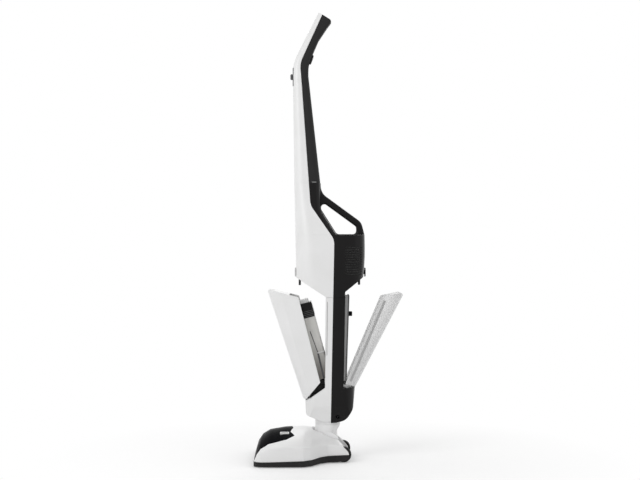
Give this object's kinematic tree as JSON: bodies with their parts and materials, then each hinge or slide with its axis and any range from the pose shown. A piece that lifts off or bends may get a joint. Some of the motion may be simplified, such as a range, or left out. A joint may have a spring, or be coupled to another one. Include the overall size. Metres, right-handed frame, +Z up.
{
  "type": "cordless stick vacuum cleaner",
  "caption": "Upright cordless stick vacuum with bent grip, carry loop, motor housing, tilting front bin and clear rear cup, swivel neck and brush-roll floor head.",
  "frame": {"origin": "middle of the machine's outline on the floor, seen from above", "axes": "+Z up along the standing machine, -X towards the nose of the floor head, +Y to its right"},
  "size_m": [0.3652, 0.273, 1.113],
  "materials": {
    "white_shell": "satin white moulding",
    "dark_shell": "fine matt charcoal moulding",
    "black_gloss": "polished black",
    "grey_plate": "light grey moulding",
    "light_grey": "satin light grey",
    "clear_cup": "clear polished plastic",
    "smoke_cup": "smoked translucent plastic",
    "rubber": "matt rubber",
    "filter": "pleated filter fleece",
    "bristle": "nylon bristle",
    "core": "moulded core",
    "steel": "turned steel",
    "motor": "motor can",
    "cell": "sleeved cell",
    "board": "circuit board"
  },
  "bodies": {
    "head": {"head_base": "dark_shell", "head_cover": "white_shell", "brush_window": "black_gloss", "head_duct": "dark_shell", "head_screws": "steel", "sole_glides": "grey_plate", "brush_bushes": "grey_plate", "brush_motor": "motor", "drive_belt": "rubber", "wheel_axles": "steel", "tilt_pins": "steel"},
    "brush": {"brush_core": "core", "brush_bristles": "bristle", "brush_pulley": "grey_plate"},
    "pinion": {"motor_pinion": "steel"},
    "wheel_left": {"wheel_left": "rubber"},
    "wheel_right": {"wheel_right": "rubber"},
    "pedal": {"release_pedal": "light_grey"},
    "neck": {"neck_joint": "white_shell", "neck_ring": "grey_plate"},
    "body": {"handle_front": "white_shell", "handle_back": "dark_shell", "slider_plate": "light_grey", "control_board": "board", "body_front": "white_shell", "body_back": "dark_shell", "battery_cells": "cell", "battery_holder": "grey_plate", "carry_handle": "dark_shell", "housing_front": "white_shell", "motor_housing": "dark_shell", "motor_deck": "grey_plate", "fan_case": "grey_plate", "motor_can": "motor", "exhaust_filter": "filter", "column_front": "white_shell", "column_back": "dark_shell", "duct_cover": "grey_plate", "charge_socket": "black_gloss", "bin_hinge_pin": "steel", "cup_hinge_pin": "steel", "seal_plate": "grey_plate", "seal_gasket": "rubber", "plate_knob": "black_gloss", "swivel_collar": "grey_plate"},
    "slider": {"power_slider": "dark_shell"},
    "trigger": {"trigger_button": "light_grey"},
    "front_latch": {"front_latch": "light_grey"},
    "rear_latch": {"rear_latch": "dark_shell"},
    "fan": {"fan_impeller": "grey_plate", "motor_shaft": "steel"},
    "bin": {"bin_cover": "white_shell", "bin_cup": "smoke_cup", "filter_frame": "dark_shell", "filter_element": "filter", "bin_lid": "dark_shell"},
    "cup": {"cup_shell": "clear_cup", "cup_rim": "grey_plate"}
  },
  "joints": [
    {"name": "neck_tilt", "type": "hinge", "parent": "head", "child": "neck", "pos_m": [-0.006, 0, 0.044], "axis": [0, 1, 0], "range_deg": [0, 65]},
    {"name": "body_swivel", "type": "hinge", "parent": "neck", "child": "body", "pos_m": [-0.006, 0, 0.1], "axis": [0, 0, 1], "range_deg": [-60, 60]},
    {"name": "wheel_left_spin", "type": "hinge", "parent": "head", "child": "wheel_left", "pos_m": [0.033, -0.0515, 0.019], "axis": [0, 1, 0], "continuous": true},
    {"name": "wheel_right_spin", "type": "hinge", "parent": "head", "child": "wheel_right", "pos_m": [0.033, 0.0515, 0.019], "axis": [0, 1, 0], "continuous": true},
    {"name": "brush_spin", "type": "hinge", "parent": "head", "child": "brush", "pos_m": [-0.145, 0, 0.0235], "axis": [0, 1, 0], "continuous": true},
    {"name": "pinion_spin", "type": "hinge", "parent": "head", "child": "pinion", "pos_m": [-0.088, 0.122, 0.032], "axis": [0, 1, 0], "continuous": true},
    {"name": "pedal_press", "type": "slide", "parent": "head", "child": "pedal", "axis": [0, 0.1624, -0.9867], "range_m": [0, 0.003], "stiffness_N_per_m": 400, "springref_m": -0.002},
    {"name": "power_slide", "type": "slide", "parent": "body", "child": "slider", "axis": [0, 0, 1], "range_m": [-0.008, 0.008]},
    {"name": "trigger_press", "type": "slide", "parent": "body", "child": "trigger", "axis": [-0.9455, 0, 0.3256], "range_m": [0, 0.003], "stiffness_N_per_m": 300, "springref_m": -0.002},
    {"name": "front_latch_slide", "type": "slide", "parent": "body", "child": "front_latch", "axis": [0, 0, -1], "range_m": [0, 0.007]},
    {"name": "rear_latch_slide", "type": "slide", "parent": "body", "child": "rear_latch", "axis": [0, 0, -1], "range_m": [0, 0.007]},
    {"name": "fan_spin", "type": "hinge", "parent": "body", "child": "fan", "pos_m": [-0.002, 0, 0.48], "axis": [0, 0, 1], "continuous": true},
    {"name": "bin_tilt", "type": "hinge", "parent": "body", "child": "bin", "pos_m": [-0.0565, 0, 0.1465], "axis": [0, 1, 0], "range_deg": [0, 15]},
    {"name": "cup_tilt", "type": "hinge", "parent": "body", "child": "cup", "pos_m": [0.057, 0, 0.1785], "axis": [0, -1, 0], "range_deg": [0, 22]}
  ],
  "couplings": [
    {"joint": "pinion_spin", "follows": "brush_spin", "ratio": 1.5}
  ]
}
